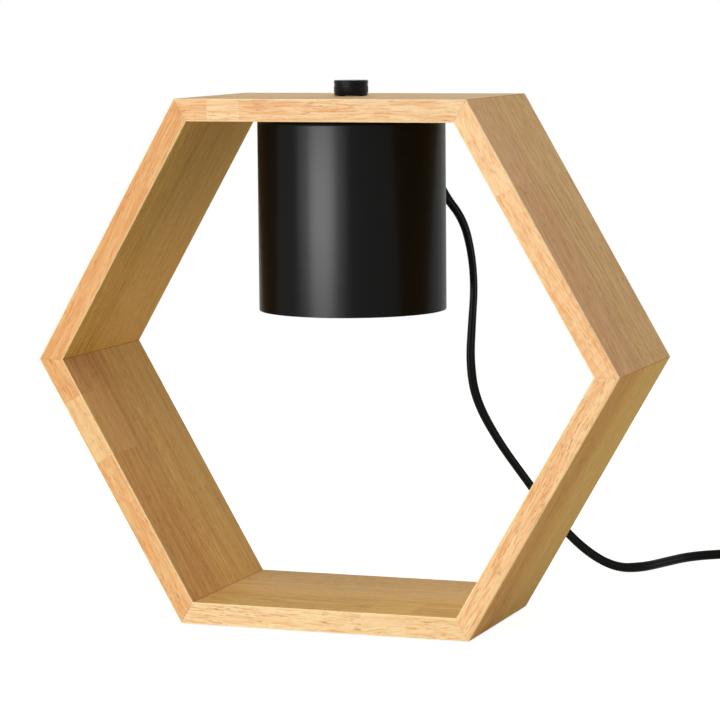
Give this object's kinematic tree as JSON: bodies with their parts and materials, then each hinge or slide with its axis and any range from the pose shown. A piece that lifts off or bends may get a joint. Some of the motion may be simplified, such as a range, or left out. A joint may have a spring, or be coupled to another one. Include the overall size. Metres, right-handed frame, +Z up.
{
  "type": "candle warmer lamp",
  "caption": "Hexagonal wooden frame with a black cylindrical shade under its top board that warms a candle standing inside, with a dimmer knob on top and a corded plug.",
  "frame": {"origin": "on the table, under the middle of the frame and of the shade; the feet stand on z = 0", "axes": "+X along the top and bottom boards to the right as seen from the front, +Y to the back where the cord leaves, +Z up"},
  "size_m": [0.3856, 0.2952, 0.2688],
  "materials": {
    "frame_wood": "satin lacquered light hardwood",
    "dowel_wood": "raw turned hardwood",
    "pad_rubber": "matte",
    "shade_paint": "satin black powder coat on spun steel",
    "knob_metal": "black anodised, finely turned",
    "plated_steel": "bright zinc plate",
    "shaft_steel": "turned steel",
    "nut_brass": "turned",
    "phenolic": "brown phenolic",
    "insulation": "pressed insulating board",
    "ceramic_white": "unglazed steatite",
    "lamp_glass": "clear",
    "reflector_glass": "dichroic coated pressed glass",
    "pin_metal": "nickel plated",
    "circuit_laminate": "green laminate",
    "block_plastic": "moulded",
    "component_black": "moulded",
    "capacitor_yellow": "dipped film",
    "choke_wire": "enamelled copper on a ferrite ring",
    "resistor_body": "lacquered",
    "sink_aluminium": "plain",
    "lead_sleeve": "glass-braid sleeve on copper",
    "cord_plastic": "soft black vinyl",
    "tie_fabric": "hook and loop strip"
  },
  "bodies": {
    "lamp": {"top_board": "frame_wood", "upper_left_board": "frame_wood", "upper_right_board": "frame_wood", "lower_left_board": "frame_wood", "lower_right_board": "frame_wood", "bottom_board": "frame_wood", "mitre_dowels": "dowel_wood", "foot_pads": "pad_rubber", "shade": "shade_paint", "dimmer_can": "plated_steel", "dimmer_base": "phenolic", "dimmer_pins": "pin_metal", "bushing_washer": "plated_steel", "bushing_nut": "nut_brass", "lampholder_plate": "plated_steel", "insulating_sheet": "insulation", "plate_spacers": "plated_steel", "hanger_screws": "plated_steel", "lampholder": "ceramic_white", "lamp_contacts": "nut_brass", "holder_screws": "plated_steel", "holder_nuts": "plated_steel", "lamp_base": "ceramic_white", "lamp_pins": "pin_metal", "lamp_reflector": "reflector_glass", "lamp_front_glass": "lamp_glass", "lamp_capsule": "lamp_glass", "circuit_board": "circuit_laminate", "terminal_block": "block_plastic", "filter_choke": "choke_wire", "filter_capacitor": "capacitor_yellow", "triac_heatsink": "sink_aluminium", "triac": "component_black", "gate_resistors": "resistor_body", "cord_relief": "cord_plastic", "cord_inner_end": "cord_plastic", "mains_leads": "lead_sleeve", "lamp_leads": "lead_sleeve", "supply_cord": "cord_plastic", "cord_tie": "tie_fabric", "supply_cord_coil": "cord_plastic", "plug_body": "cord_plastic", "plug_blades": "nut_brass", "supply_cord_tail": "cord_plastic"},
    "knob": {"dimmer_knob": "knob_metal", "dimmer_shaft": "shaft_steel", "dimmer_wiper": "phenolic", "knob_set_screw": "component_black"}
  },
  "joints": [
    {"name": "knob_turn", "type": "hinge", "parent": "lamp", "child": "knob", "pos_m": [0, 0, 0.265], "axis": [0, 0, -1], "range_deg": [0, 300]}
  ]
}
